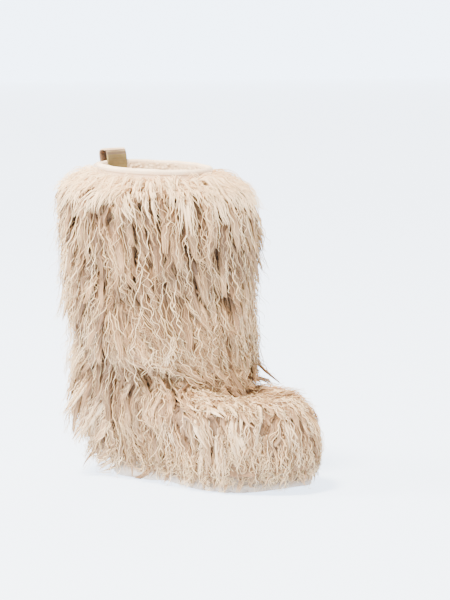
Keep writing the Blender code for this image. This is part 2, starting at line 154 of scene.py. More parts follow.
def normals_of(piece):
    out = np.zeros(len(piece.data.vertices) * 3, np.float32)
    piece.data.vertices.foreach_get("normal", out)
    return out.reshape(-1, 3).astype(float)


def tree_of(piece):
    mesh = piece.data
    return BVHTree.FromPolygons(
        [v.co.copy() for v in mesh.vertices], [tuple(p.vertices) for p in mesh.polygons]
    )


# Shader maths


class Value:
    """A number or a colour on its way through a material."""

    def __init__(self, finish, socket):
        self.finish = finish
        self.socket = socket

    def maths(self, operation, other, swap=False):
        pair = (other, self) if swap else (self, other)
        return self.finish.add("Math", {"operation": operation}, {0: pair[0], 1: pair[1]})

    def __add__(self, other):
        return self.maths("ADD", other)

    def __radd__(self, other):
        return self.maths("ADD", other, True)

    def __sub__(self, other):
        return self.maths("SUBTRACT", other)

    def __rsub__(self, other):
        return self.maths("SUBTRACT", other, True)

    def __mul__(self, other):
        return self.maths("MULTIPLY", other)

    def __rmul__(self, other):
        return self.maths("MULTIPLY", other, True)

    def sine(self):
        return self.finish.add("Math", {"operation": "SINE"}, {0: self})

    def ramp(self, low, high, out_low=0.0, out_high=1.0):
        """Rises smoothly from one value to another between low and high."""
        return self.finish.add(
            "MapRange",
            {"interpolation_type": "SMOOTHSTEP"},
            {"Value": self, "From Min": low, "From Max": high, "To Min": out_low, "To Max": out_high},
        )


class Finish:
    """One material, built node by node."""

    def __init__(self, name, colour, roughness):
        self.material = bpy.data.materials.new(name)
        self.material.use_nodes = True
        self.nodes = self.material.node_tree.nodes
        self.links = self.material.node_tree.links
        self.shader = self.nodes["Principled BSDF"]
        self.shader.inputs["Base Color"].default_value = (*colour, 1.0)
        self.shader.inputs["Roughness"].default_value = roughness

    def make(self, kind, settings=None, sockets=None):
        """The one place where a node is made, set and wired."""
        made = self.nodes.new("ShaderNode" + kind)
        for key, value in (settings or {}).items():
            setattr(made, key, value)
        for key, value in (sockets or {}).items():
            if isinstance(value, Value):
                self.links.new(value.socket, made.inputs[key])
            else:
                made.inputs[key].default_value = value
        return made

    def add(self, kind, settings=None, sockets=None, output=0):
        return Value(self, self.make(kind, settings, sockets).outputs[output])

    def place(self):
        return self.add("TexCoord", output="Object")

    def parts(self, vector):
        return [Value(self, socket) for socket in self.make("SeparateXYZ", sockets={0: vector}).outputs]

    def join(self, x, y, z):
        return self.add("CombineXYZ", sockets={0: x, 1: y, 2: z})

    def multiply(self, first, second):
        return self.add("VectorMath", {"operation": "MULTIPLY"}, {0: first, 1: second})

    def noise(self, vector, scale, detail=2.0, roughness=0.5, distortion=0.0):
        return self.add(
            "TexNoise",
            sockets={
                "Vector": vector,
                "Scale": scale,
                "Detail": detail,
                "Roughness": roughness,
                "Distortion": distortion,
            },
        )

    def cells(self, vector, scale):
        return self.add("TexVoronoi", {"feature": "F1"}, {"Vector": vector, "Scale": scale})

    def mix(self, amount, first, second):
        """A colour between two, each a Value or three numbers."""
        first, second = (c if isinstance(c, Value) else (*c, 1.0) for c in (first, second))
        return self.add("Mix", {"data_type": "RGBA"}, {0: amount, 6: first, 7: second}, 2)

    def feed(self, value, socket):
        self.links.new(value.socket, self.shader.inputs[socket])

    def colour(self, value):
        self.feed(value, "Base Color")

    def rough(self, value):
        self.feed(value, "Roughness")

    def glow(self, value, strength):
        self.feed(value, "Emission Color")
        self.shader.inputs["Emission Strength"].default_value = strength

    def bump(self, height, strength, depth):
        relief = self.add("Bump", None, {"Strength": strength, "Distance": depth, "Height": height})
        self.feed(relief, "Normal")


# Finishes


def moulded_sole():
    finish = Finish("moulded_sole", (0.74, 0.66, 0.57), 0.62)
    where = finish.place()
    along, height = finish.parts(where)[1:]
    mottle = finish.noise(where, 60.0, 4.0, 0.6)
    scuff = finish.noise(finish.multiply(where, (1.0, 1.0, 3.5)), 170.0, 5.0, 0.7)
    low = height.ramp(0.0, 0.011, 1.0, 0.0)
    grime = (low * scuff.ramp(0.42, 0.7)) * 0.55
    rubber_and_shade = finish.mix(mottle.ramp(0.3, 0.72), (0.66, 0.55, 0.46), (0.57, 0.46, 0.37))
    # Painted shade: the sole's top band, under the fur's hem, is painted dark brown.
    rubber_and_shade = finish.mix(height.ramp(0.007, 0.013) * 0.65, rubber_and_shade, (0.27, 0.20, 0.15))
    # Painted shade: towards the toe the sole's side is painted darker still, under the hanging fur.
    rubber_and_shade = finish.mix(along.ramp(-0.195, -0.13, 0.72, 0.0), rubber_and_shade, (0.22, 0.165, 0.125))
    finish.colour(finish.mix(grime, rubber_and_shade, (0.40, 0.32, 0.25)))
    finish.rough(0.56 + 0.2 * scuff)
    grain = finish.noise(where, 900.0, 3.0, 0.6)
    finish.bump(0.6 * grain + 0.4 * mottle, 0.35, 0.0006)
    return finish.material


def suede_skin():
    finish = Finish("suede_skin", (0.62, 0.50, 0.38), 0.92)
    where = finish.place()
    nap = finish.noise(finish.multiply(where, (1.0, 1.0, 0.35)), 420.0, 5.0, 0.7)
    patch = finish.noise(where, 35.0, 3.0, 0.5)
    worn = finish.mix(patch.ramp(0.3, 0.7), (0.66, 0.54, 0.42), (0.55, 0.43, 0.32))
    finish.colour(finish.mix(nap.ramp(0.35, 0.7) * 0.5, worn, (0.74, 0.63, 0.51)))
    finish.bump(nap, 0.5, 0.0008)
    return finish.material


def fleece(name, pale, deep):
    finish = Finish(name, pale, 0.95)
    where = finish.place()
    curl = finish.cells(where, 260.0)
    tuft = finish.noise(where, 120.0, 5.0, 0.7, 0.6)
    # Painted shade: the hollows between the curls are painted towards the deep colour, along with tufts that
    # darken at random.
    hollow = curl.ramp(0.1, 0.75)
    shade = (hollow * 0.55 + tuft.ramp(0.35, 0.7) * 0.45)
    finish.colour(finish.mix(shade, pale, deep))
    finish.bump((1.0 - hollow) * 0.6 + tuft * 0.6, 0.8, 0.0022)
    return finish.material


def binding_cloth():
    """Cream cloth on the rolled edge, below it a band painted a darker rosy beige as shade under the roll,
    and a line of painted shade where they meet.
    """
    finish = Finish("binding_cloth", (0.86, 0.79, 0.69), 0.85)
    where = finish.place()
    y, z = finish.parts(where)[1:]
    below = rim_height(y) + BINDING_RISE - z
    weave = finish.noise(finish.multiply(where, (1.0, 1.0, 0.4)), 700.0, 3.0, 0.6)
    patch = finish.noise(where, 45.0, 3.0, 0.5)
    roll = finish.mix(patch.ramp(0.3, 0.7), (0.96, 0.80, 0.60), (0.86, 0.67, 0.47))
    # Painted shade: the band under the rolled edge is painted darker than the roll.
    band = finish.mix(patch.ramp(0.3, 0.7), (0.72, 0.53, 0.38), (0.60, 0.41, 0.27))
    tone = finish.mix(below.ramp(4.9 * MM, 5.9 * MM), roll, band)
    # Painted shade: a dark line along the groove where roll and band meet.
    crease_shade = below.ramp(4.6 * MM, 5.3 * MM) * below.ramp(5.9 * MM, 7.0 * MM, 1.0, 0.0)
    tone = finish.mix(crease_shade * 0.6, tone, (0.36, 0.22, 0.12))
    finish.colour(finish.mix(weave.ramp(0.4, 0.7) * 0.3, tone, (0.66, 0.47, 0.31)))
    finish.bump(weave, 0.4, 0.0005)
    return finish.material


def loop_webbing():
    """Woven tape: ribs across its width, paler on the outer turn, with a darker band woven across, and
    painted shade inside its turn.
    """
    finish = Finish("loop_webbing", (0.60, 0.50, 0.33), 0.82)
    where = finish.place()
    x, y, z = finish.parts(where)
    rib = (z * 3900.0 + x * 300.0).sine()
    thread = (x * 5200.0).sine()
    weave = 0.5 + 0.25 * rib + 0.25 * thread
    patch = finish.noise(where, 80.0, 3.0, 0.5)
    front = y.ramp(0.0395, 0.0415, 1.0, 0.0)
    high = z.ramp(0.3245, 0.3262)
    tape = finish.mix(patch.ramp(0.3, 0.7), (0.205, 0.150, 0.046), (0.155, 0.112, 0.033))
    pale = finish.mix(patch.ramp(0.3, 0.7), (0.78, 0.60, 0.41), (0.64, 0.47, 0.30))
    cloth = finish.mix((front * (1.0 - high)), pale, tape)
    band = z.ramp(0.3215, 0.3221) * z.ramp(0.3243, 0.3249, 1.0, 0.0) * front
    cloth = finish.mix(band * 0.9, cloth, (0.13, 0.085, 0.05))
    # Painted shade: the inside of the loop's turn, between its legs, is painted near black.
    inside = y.ramp(0.0378, 0.0384) * y.ramp(0.0460, 0.0468, 1.0, 0.0) * z.ramp(0.3262, 0.3268, 1.0, 0.0)
    cloth = finish.mix(inside, cloth, (0.12, 0.065, 0.035))
    finish.colour(finish.mix(weave.ramp(0.2, 0.9) * 0.12, cloth, (0.60, 0.45, 0.27)))
    finish.bump(weave, 0.5, 0.0004)
    return finish.material


def underwool_shade_cloth():
    """The dense underwool seen between the locks, dark partly in its own tone and partly as painted shade
    between them: tan to dark olive brown streaks running down.
    """
    finish = Finish("fur_underwool_shade", (0.24, 0.14, 0.075), 0.95)
    where = finish.place()
    strand = finish.noise(finish.multiply(where, (1.0, 1.0, 0.22)), 420.0, 4.0, 0.7, 0.4)
    patch = finish.noise(where, 55.0, 4.0, 0.6)
    tone = finish.mix(patch.ramp(0.32, 0.68), (0.26, 0.15, 0.08), (0.14, 0.075, 0.035))
    finish.colour(finish.mix(strand.ramp(0.45, 0.75) * 0.7, tone, (0.44, 0.29, 0.17)))
    finish.bump(strand, 0.8, 0.003)
    return finish.material


def fur_hair(name, root, middle, tip, pale, streak, relief=0.0, clump=0.8, dim=(0.70, 0.64, 0.58)):
    """Hair, painted along each lock: v runs from root to tip, and u picks the lock's own tone."""
    finish = Finish(name, tip, 0.6)
    u, v = finish.parts(finish.add("UVMap", {"uv_map": "OFBake"}))[:2]
    number = finish.add("Math", {"operation": "FLOOR"}, {0: u * float(TONES)})
    own = finish.add("TexWhiteNoise", {"noise_dimensions": "1D"}, {"W": number})
    fluffy = number.ramp(PALE_TONE - 0.6, PALE_TONE - 0.4)
    crimp = (v * 58.0 + own * 40.0).sine()
    streaks = finish.noise(finish.join(u * 260.0 + crimp * 0.42, v * 3.0, 0.0), 3.0, 3.0, 0.6)
    along = v + (own - 0.5) * 0.3
    # The root colour is partly the hair's own darker root and partly painted shade deep in the fur.
    body = finish.mix(along.ramp(0.02, 0.45), root, middle)
    body = finish.mix(along.ramp(0.35, 0.95), body, tip)
    body = finish.mix(fluffy * along.ramp(0.45, 1.05, 0.85, 0.3), body, pale)
    # Painted shade: streaks in the root colour darken the gaps between strands.
    body = finish.mix(streaks.ramp(0.42, 0.74) * (1.0 - 0.8 * fluffy) * streak, body, root)
    dull = finish.mix(own.ramp(0.0, 0.8), dim, (1.0, 0.99, 0.98))
    dull = finish.mix(fluffy, dull, (1.0, 1.0, 1.0))
    patch = finish.noise(finish.multiply(finish.place(), (1.0, 1.0, 0.6)), 38.0, 2.0, 0.5)
    shade = finish.mix(patch.ramp(0.38, 0.62), (clump, clump * 0.97, clump * 0.93), (1.0, 1.0, 1.0))
    dull = finish.multiply(dull, finish.mix(fluffy, shade, (1.0, 1.0, 1.0)))
    finish.colour(finish.multiply(body, dull))
    if relief:
        finish.bump(streaks + 0.22 * crimp, relief, 0.0009)
    return finish.material


# Camera and light


def set_camera():
    """The photograph's view: a long lens from the front and outer side, a little above and turned."""
    azimuth = math.radians(-41.5)
    distance = 3.4
    spot = Vector((math.sin(azimuth) * distance, -math.cos(azimuth) * distance - 0.07, 0.49))
    heading = azimuth + math.radians(-0.58)
    tilt = math.radians(5.22)
    roll = math.radians(0.64)
    ahead = Vector(
        (-math.sin(heading) * math.cos(tilt), math.cos(heading) * math.cos(tilt), -math.sin(tilt))
    )
    right = ahead.cross(Vector((0, 0, 1))).normalized()
    down = ahead.cross(right)
    right_2 = math.cos(roll) * right + math.sin(roll) * down
    down_2 = -math.sin(roll) * right + math.cos(roll) * down
    turn = Matrix((right_2, -down_2, -ahead)).transposed()
    camera = bpy.data.objects.new("camera", bpy.data.cameras.new("camera"))
    camera.data.lens = 206.1
    camera.data.sensor_width = 36.0
    camera.data.clip_end = 500.0
    camera.matrix_world = Matrix.Translation(spot) @ turn.to_4x4()
    bpy.context.scene.collection.objects.link(camera)
    bpy.context.scene.camera = camera


def add_light(name, place, size, power, colour):
    """A square soft lamp that looks at the boot's middle."""
    lamp = bpy.data.lights.new(name, "AREA")
    lamp.shape = "SQUARE"
    lamp.size = size
    lamp.energy = power
    lamp.color = colour
    thing = bpy.data.objects.new(name, lamp)
    thing.location = place
    aim = Vector((0, -0.07, 0.15))
    thing.rotation_euler = (aim - Vector(place)).to_track_quat("-Z", "Y").to_euler()
    bpy.context.scene.collection.objects.link(thing)


def stage_glow(near, far):
    """A matte finish that glows a little, more so far from the boot, so that the background stays even."""
    finish = Finish("studio_floor", (0.44, 0.50, 0.57), 0.95)
    x, y = finish.parts(finish.place())[:2]
    finish.glow(finish.mix((x * x + y * y).ramp(0.3, 40.0), near, far), 4.0)
    return finish.material


def set_studio():
    """A wide pale floor with a low ring wall far behind, a warm soft sky, and three soft lamps."""
    glow = stage_glow((0.65, 0.765, 0.935), (0.85, 0.97, 1.14))
    bpy.ops.mesh.primitive_plane_add(size=60.0, location=(0, 0, -0.0003))
    floor = bpy.context.active_object
    floor.name = "studio_floor"
    bpy.ops.mesh.primitive_cylinder_add(vertices=96, radius=15.0, depth=4.4, end_fill_type="NOTHING")
    wall = bpy.context.active_object
    wall.name = "studio_wall"
    for sheet in (floor, wall):
        work_on(sheet)
        bpy.ops.object.transform_apply(location=True, rotation=True, scale=True)
        give(sheet, glow)
    world = bpy.data.worlds.new("studio")
    bpy.context.scene.world = world
    world.use_nodes = True
    back = world.node_tree.nodes["Background"]
    back.inputs["Color"].default_value = (1.0, 0.915, 0.82, 1.0)
    back.inputs["Strength"].default_value = 1.55
    add_light("key", (-2.5, -0.6, 5.6), 1.4, 1750, (1.0, 0.88, 0.72))
    add_light("fill", (-3.2, 2.6, 2.2), 2.4, 420, (1.0, 0.95, 0.88))
    add_light("rim", (2.6, 2.4, 3.2), 2.0, 120, (1.0, 0.95, 0.9))


# Fur


def tucked(points):
    """Draws the fur in under the toe's edge, towards the sole, and keeps it off the floor."""
    toe = -130 * MM
    low = np.clip(1 - points[:, 2] / (32 * MM), 0, 1) ** 1.6 * np.clip((toe - points[:, 1]) / (40 * MM), 0, 1)
    moved = points.copy()
    moved[:, 0] *= 1 - 0.13 * low
    moved[:, 1] = toe + (points[:, 1] - toe) * (1 - 0.13 * low)
    moved[:, 2] = np.maximum(points[:, 2], 0.5 * MM)
    return moved


class Locks:
    """Hair strands gathered as closed tapered tubes, to be joined into one piece."""

    def __init__(self, sides):
        self.sides = sides
        self.points = []
        self.faces = []
        self.uvs = []
        self.count = 0

    def add(self, path, radii, tone, v_low=0.0, v_high=1.0, flat=1.0, lean=None):
        """One strand along path, an array of points, with a radius at each. flat narrows it along lean."""
        steps = len(path)
        sides = self.sides
        tangent = np.gradient(path, axis=0)
        tangent /= np.linalg.norm(tangent, axis=1)[:, None] + 1e-12
        reference = lean if lean is not None else np.tile((0.31, 0.52, 0.79), (steps, 1))
        across = np.cross(tangent, reference)
        across /= np.linalg.norm(across, axis=1)[:, None] + 1e-12
        over = np.cross(across, tangent)
        angle = np.arange(sides) / sides * TURN
        ring = (
            np.cos(angle)[None, :, None] * across[:, None, :]
            + np.sin(angle)[None, :, None] * over[:, None, :] * flat
        )
        body = path[:, None, :] + ring * radii[:, None, None]
        self.points.append(body.reshape(-1, 3))
        i = np.arange(steps - 1)[:, None]
        j = np.arange(sides)[None, :]
        k = (j + 1) % sides
        low = self.count + i * sides
        high = low + sides
        self.faces.append(np.stack([low + j, low + k, high + k, high + j], axis=2).reshape(-1, 4))
        t = v_low + (v_high - v_low) * np.arange(steps) / (steps - 1)
        edge = 0.84 * np.arange(sides + 1) / sides
        u = (tone + 0.08 + edge) / TONES
        quad = np.zeros((steps - 1, sides, 4, 2))
        quad[:, :, (0, 3), 0] = u[None, :-1, None]
        quad[:, :, (1, 2), 0] = u[None, 1:, None]
        quad[:, :, (0, 1), 1] = t[:-1, None, None]
        quad[:, :, (2, 3), 1] = t[1:, None, None]
        self.uvs.append(quad.reshape(-1, 2))
        self.count += steps * sides

    def piece(self, name, material):
        points = tucked(np.concatenate(self.points))
        faces = np.concatenate(self.faces)
        mesh = bpy.data.meshes.new(name)
        mesh.vertices.add(len(points))
        mesh.vertices.foreach_set("co", points.astype(np.float32).ravel())
        mesh.loops.add(faces.size)
        mesh.loops.foreach_set("vertex_index", faces.astype(np.int32).ravel())
        mesh.polygons.add(len(faces))
        mesh.polygons.foreach_set("loop_start", np.arange(0, faces.size, 4, dtype=np.int32))
        mesh.polygons.foreach_set("use_smooth", np.ones(len(faces), bool))
        layer = mesh.uv_layers.new(name="OFBake")
        layer.data.foreach_set("uv", np.concatenate(self.uvs).astype(np.float32).ravel())
        mesh.update(calc_edges=True)
        mesh.validate()
        made = bpy.data.objects.new(name, mesh)
        bpy.context.scene.collection.objects.link(made)
        give(made, material)
        return made


def fur_guide():
    """A smooth skin over both furs, drawn in a little, for the locks to follow."""
    parts = [copy_of(name, "guide_" + name) for name in ("shaft_fur", "foot_fur")]
    deselect_all()
    for part in parts:
        part.select_set(True)
    piece = parts[0]
    bpy.context.view_layer.objects.active = piece
    bpy.ops.object.join()
    piece.name = "fur_guide"
    apply_modifier(piece, "REMESH", mode="VOXEL", voxel_size=5 * MM)
    apply_modifier(piece, "SMOOTH", factor=0.5, iterations=14)
    put_points(piece, points_of(piece) - normals_of(piece) * (2.5 * MM))
    keep_largest(piece)
    return piece


def keep_largest(piece):
    """Removes stray crumbs that remeshing leaves beside a shape."""
    work_on(piece)
    bpy.ops.object.mode_set(mode="EDIT")
    bpy.ops.mesh.select_all(action="DESELECT")
    bpy.ops.object.mode_set(mode="OBJECT")
    mesh = piece.data
    group = list(range(len(mesh.vertices)))

    def find(i):
        while group[i] != i:
            group[i] = group[group[i]]
            i = group[i]
        return i

    for edge in mesh.edges:
        a, b = find(edge.vertices[0]), find(edge.vertices[1])
        if a != b:
            group[a] = b
    roots = [find(i) for i in range(len(group))]
    sizes = {}
    for root in roots:
        sizes[root] = sizes.get(root, 0) + 1
    best = max(sizes, key=sizes.get)
    for vertex, root in zip(mesh.vertices, roots):
        vertex.select = root != best
    bpy.ops.object.mode_set(mode="EDIT")
    bpy.ops.mesh.delete(type="VERT")
    bpy.ops.object.mode_set(mode="OBJECT")


def fur_bed(name, piece_name, sink, material):
    """Dense underwool: the fur's own shape drawn in, with broken strands down it."""
    piece = copy_of(name, piece_name)
    apply_modifier(piece, "REMESH", mode="VOXEL", voxel_size=6 * MM)
    apply_modifier(piece, "SMOOTH", factor=0.5, iterations=4)
    points = points_of(piece)
    normals = normals_of(piece)
    rough = np.sin(points[:, 0] * 410 + points[:, 2] * 90) * np.sin(points[:, 1] * 380 + points[:, 2] * 70)
    outward = np.clip(np.linalg.norm(normals[:, :2], axis=1), 0, 1)
    moved = points - normals * ((sink + 1.5 * MM * rough) * np.clip(outward + 0.3, 0, 1))[:, None]
    moved[:, 2] = np.maximum(moved[:, 2], 7 * MM)
    put_points(piece, moved)
    keep_largest(piece)
    smooth_look(piece, 60)
    give(piece, material)
    return piece


def surface_spots(piece, spacing, rng, keep):
    """Points spread over a piece's faces about spacing apart, with the faces' normals."""
    mesh = piece.data
    mesh.calc_loop_triangles()
    triangles = np.array([t.vertices[:] for t in mesh.loop_triangles])
    co = points_of(piece)
    a, b, c = co[triangles[:, 0]], co[triangles[:, 1]], co[triangles[:, 2]]
    cross = np.cross(b - a, c - a)
    area = np.linalg.norm(cross, axis=1) / 2
    normal = cross / (2 * area[:, None] + 1e-15)
    count = int(area.sum() / spacing**2 * 3.0)
    pick = rng.choice(len(area), count, p=area / area.sum())
    r1, r2 = np.sqrt(rng.random(count)), rng.random(count)
    shares = np.stack([1 - r1, r1 * (1 - r2), r1 * r2])[:, :, None]
    spots = a[pick] * shares[0] + b[pick] * shares[1] + c[pick] * shares[2]
    normals = normal[pick]
    steps = [(dx, dy, dz) for dx in (-1, 0, 1) for dy in (-1, 0, 1) for dz in (-1, 0, 1)]
    chosen = []
    cells = {}
    for spot, facing in zip(spots, normals):
        if not keep(spot, facing):
            continue
        key = tuple(np.floor(spot / spacing).astype(int))
        near = []
        for dx, dy, dz in steps:
            near += cells.get((key[0] + dx, key[1] + dy, key[2] + dz), [])
        if near and np.min(np.sum((np.array(near) - spot) ** 2, axis=1)) < (0.78 * spacing) ** 2:
            continue
        cells.setdefault(key, []).append(spot)
        chosen.append((spot, facing))
    return chosen


def guide_line(tree, spot, comb, up_length, down_length, sink, lift):
    """A line that starts inside the fur above spot, comes out at it, and hangs down past it."""
    steps = 14
    floor = 3 * MM
    half = steps // 2

    def walk(start, toward, length, count, offset):
        line = []
        p = Vector(start)
        step = length / count
        for index in range(count):
            n = tree.find_nearest(p)[1]
            flow = comb - n * n.dot(comb)
            if toward > 0:
                flow = flow.lerp(comb, 0.35)
            if flow.length < 1e-4:
                flow = Vector((0, 0, -1))
            flow.normalize()
            p = p + flow * (step * toward)
            hit, n = tree.find_nearest(p)[:2]
            move = offset((index + 1) / count) - (p - hit).dot(n)
            if toward > 0:
                move = max(move, -0.3 * step)
            p = p + n * move
            p.z = max(p.z, floor)
            line.append(np.array(p))
        return line

    start = np.array(spot)
    back = walk(start, -1, up_length, half, lambda t: -sink * t**1.1)
    front = walk(start, 1, down_length, steps - half - 1, lambda t: lift * t)
    return np.array(back[::-1] + [start] + front)


def resample(line, count, close=1.0):
    """The same line with count points, nearer to each other at the tip where close is below one."""
    gaps = np.linalg.norm(np.diff(line, axis=0), axis=1)
    along = np.concatenate([[0], np.cumsum(gaps)])
    at = np.linspace(0, 1, count) ** close * along[-1]
    return np.stack([np.interp(at, along, line[:, i]) for i in range(3)], axis=1), along[-1]


def smooth_line(line, rounds):
    for _ in range(rounds):
        line[1:-1] = 0.5 * line[1:-1] + 0.25 * (line[:-2] + line[2:])
    return line


def frames_along(line, outward):
    """The sideways and outward directions at each point of a line."""
    tangent = np.gradient(line, axis=0)
    tangent /= np.linalg.norm(tangent, axis=1)[:, None] + 1e-12
    side = np.cross(tangent, outward[None, :])
    side /= np.linalg.norm(side, axis=1)[:, None] + 1e-12
    return side, np.cross(side, tangent)


def grow_fluff(masses, fluff, line, outward, rng, straight):
    """One soft pale tuft: thin overlapping masses with many fine hairs over them, curly unless straight."""
    steps = 13
    spread = 6.5 * MM
    line, length = resample(smooth_line(np.array(line), 3), steps)
    side, over = frames_along(line, outward)
    t = np.linspace(0, 1, steps)
    size = 1.0 if straight else 1.25
    curl = 1.0 if straight else 2.0
    first_tone = PALE_TONE if straight else CURLY_TONE
    for index in range(4):
        middle = rng.uniform(0.32, 0.5)
        taper = np.clip(1 - (np.abs(t - middle) / (1.02 - middle)) ** 1.8, 0.04, 1)
        radii = rng.uniform(1.3, 2.5) * MM * size * taper
        place = (index + rng.uniform(0.2, 0.8)) / 4 * 2 - 1
        bend = np.sin(t * rng.uniform(3, 8) + rng.uniform(0, 6.28)) * 2.0 * MM * (0.3 + t)
        across = place * spread * (1 - 0.2 * t) + bend
        path = line + side * across[:, None] - over * rng.uniform(1, 4) * MM
        tone = int(rng.integers(first_tone, TONES))
        masses.add(path[::2], radii[::2], tone, 0.1, 0.9, 0.8, over[::2])
    for index in range(8):
        wave = rng.uniform(0.5, 1.5) * MM * (0.3 + t) * curl
        period = rng.uniform(12, 22) * MM / curl**0.5
        cycle = t * length / period * TURN + rng.uniform(0, 6.28)
        across = rng.uniform(-1.2, 1.2) * spread * (0.7 + 0.6 * t) + np.sin(cycle) * wave
        lift = rng.uniform(0, 2.2) * MM + t**1.6 * rng.uniform(0, 5) * MM + np.cos(cycle) * wave * 0.6
        path = line + side * across[:, None] + over * lift[:, None]
        path[:, 2] = np.maximum(path[:, 2], 2.5 * MM)
        radii = rng.uniform(0.3, 0.55) * MM * np.clip(1.15 - t**2, 0.2, 1)
        fluff.add(path, radii, int(rng.integers(first_tone, TONES)), 0.1, 1.0)


def grow_lock(masses, ropes, hairs, line, outward, rng, kind):
    """One lock: soft masses under a few crimped ropes, with hairs that share their wave or stray."""
    close = 0.9
    steps = kind["steps"]
    line, length = resample(smooth_line(np.array(line), 2), steps, close)
    side, over = frames_along(line, outward)
    t = np.linspace(0, 1, steps) ** close
    gather = 1 - 0.45 * t
    period = kind["period"] * rng.uniform(0.7, 1.4)
    wave = kind["wave"] * rng.uniform(0.25, 1.45)
    drift = np.cumsum(rng.normal(0, 1, steps)) * 0.13
    cycle = t * (1 + 0.3 * t) * length / period * TURN + rng.uniform(0, TURN) + drift
    grow = 0.25 + 0.75 * np.clip(t * 1.6, 0, 1)
    sway = np.sin(t * math.pi * rng.uniform(0.8, 1.8) + rng.uniform(0, 6.28))
    sway = sway * kind["sway"] * rng.uniform(0.2, 1)
    curl = np.clip((t - 0.68) / 0.32, 0, 1) * kind["curl"] * rng.uniform(0, 1)
    tone = int(rng.integers(0, PALE_TONE))
    reach = kind["spread"] * rng.uniform(0.8, 1.2)

    def strand(across, above, size, shift, rate):
        own = cycle * rate + shift
        beat = np.sin(own) + 0.55 * np.sin(own * 0.43 + 2.1 * shift + tone)
        s = sway + beat * wave * size * grow * (1 + curl) + across
        o = np.cos(own * 0.97 + 0.6) * wave * size * grow * (0.35 + 0.65 * curl) + above
        path = line + side * s[:, None] + over * o[:, None]
        path[:, 2] = np.maximum(path[:, 2], kind["floor"] + 0.6 * MM * rng.random())
        return path

    def own_tone(share):
        return tone if rng.random() < share else int(rng.integers(0, PALE_TONE))

    for index in range(kind["masses"]):
        middle = rng.uniform(0.3, 0.42)
        taper = np.clip(1 - (np.abs(t - middle) / (0.98 - middle)) ** 1.7, 0.04, 1)
        radii = kind["mass"] * rng.uniform(0.55, 1.2) * taper
        place = (index + 0.5) / kind["masses"] * 2 - 1
        path = strand(place * reach * 0.7 * (1 - 0.4 * t), -kind["mass"] * 0.7, 0.5, 0, 1.0)
        masses.add(path[::3], radii[::3], tone, kind["root"], 0.85, 0.62, over[::3])
    for index in range(kind["ropes"]):
        taper = np.clip(1.05 - t**2.6, 0.1, 1) * np.clip(0.5 + 3 * t, 0, 1)
        radii = kind["rope"] * rng.uniform(0.5, 1.35) * taper
        place = (index + rng.uniform(0.2, 0.8)) / kind["ropes"] * 2 - 1
        above = rng.uniform(0, 1.2 * MM) * (1 - abs(place))
        size, shift, rate = rng.uniform(0.8, 1.2), rng.normal(0, 0.35), rng.uniform(0.96, 1.04)
        path = strand(place * reach * gather, above, size, shift, rate)
        end = int(steps * rng.uniform(0.58, 1.0))
        ropes.add(path[:end], radii[:end] * np.linspace(1, 0.3, end), own_tone(0.6), 0.0, end / steps)
    for index in range(kind["hairs"]):
        stray = rng.random() < kind["stray"]
        across = rng.uniform(-1.1, 1.1) * reach * gather
        above = rng.uniform(0.8, 2.0) * MM
        if stray:
            above = above + kind["flyaway"] * t**2 * rng.uniform(0, 1)
            across = across + kind["flyaway"] * t**2 * rng.normal(0, 0.7)
        size = rng.uniform(0.5, 1.35)
        shift = rng.uniform(0, 6.28) if stray else rng.normal(0, 0.5)
        path = strand(across, above, size, shift, rng.uniform(0.92, 1.08))
        begin = int(steps * rng.uniform(0.0, 0.25))
        end = int(steps * rng.uniform(0.7, 1.0))
        local = np.linspace(0, 1, end - begin)
        taper = np.clip(1.15 - local**2.2, 0.25, 1) * np.clip(0.4 + 4 * local, 0, 1)
        radii = kind["hair"] * rng.uniform(0.75, 1.3) * taper
        hairs.add(path[begin:end], radii, own_tone(0.5), begin / steps, end / steps)


SHAFT_KIND = {
    "steps": 27, "period": 19 * MM, "wave": 2.2 * MM, "sway": 4 * MM, "curl": 1.1, "root": 0.0,
    "mass": 3.7 * MM, "masses": 3, "rope": 1.3 * MM, "ropes": 2, "hair": 0.55 * MM, "hairs": 2,
    "spread": 6.5 * MM, "stray": 0.35, "flyaway": 8 * MM, "floor": 2 * MM,
}
FOOT_KIND = {
    "steps": 22, "period": 16 * MM, "wave": 1.9 * MM, "sway": 3 * MM, "curl": 1.4, "root": 0.0,
    "mass": 3.2 * MM, "masses": 3, "rope": 1.15 * MM, "ropes": 2, "hair": 0.58 * MM, "hairs": 3,
    "spread": 5.8 * MM, "stray": 0.45, "flyaway": 6 * MM, "floor": 2 * MM,
}


def collar_line(turn):
    """The middle of the upper's top edge at an angle round the collar, and the outward direction there."""
    out = np.array((math.sin(turn), math.cos(turn), 0.0))
    spot = np.array((COLLAR_HALF_WIDTH * out[0], COLLAR_MIDDLE + COLLAR_HALF_DEPTH * out[1], 0.0))
    spot[2] = rim_height(spot[1])
    return spot, out


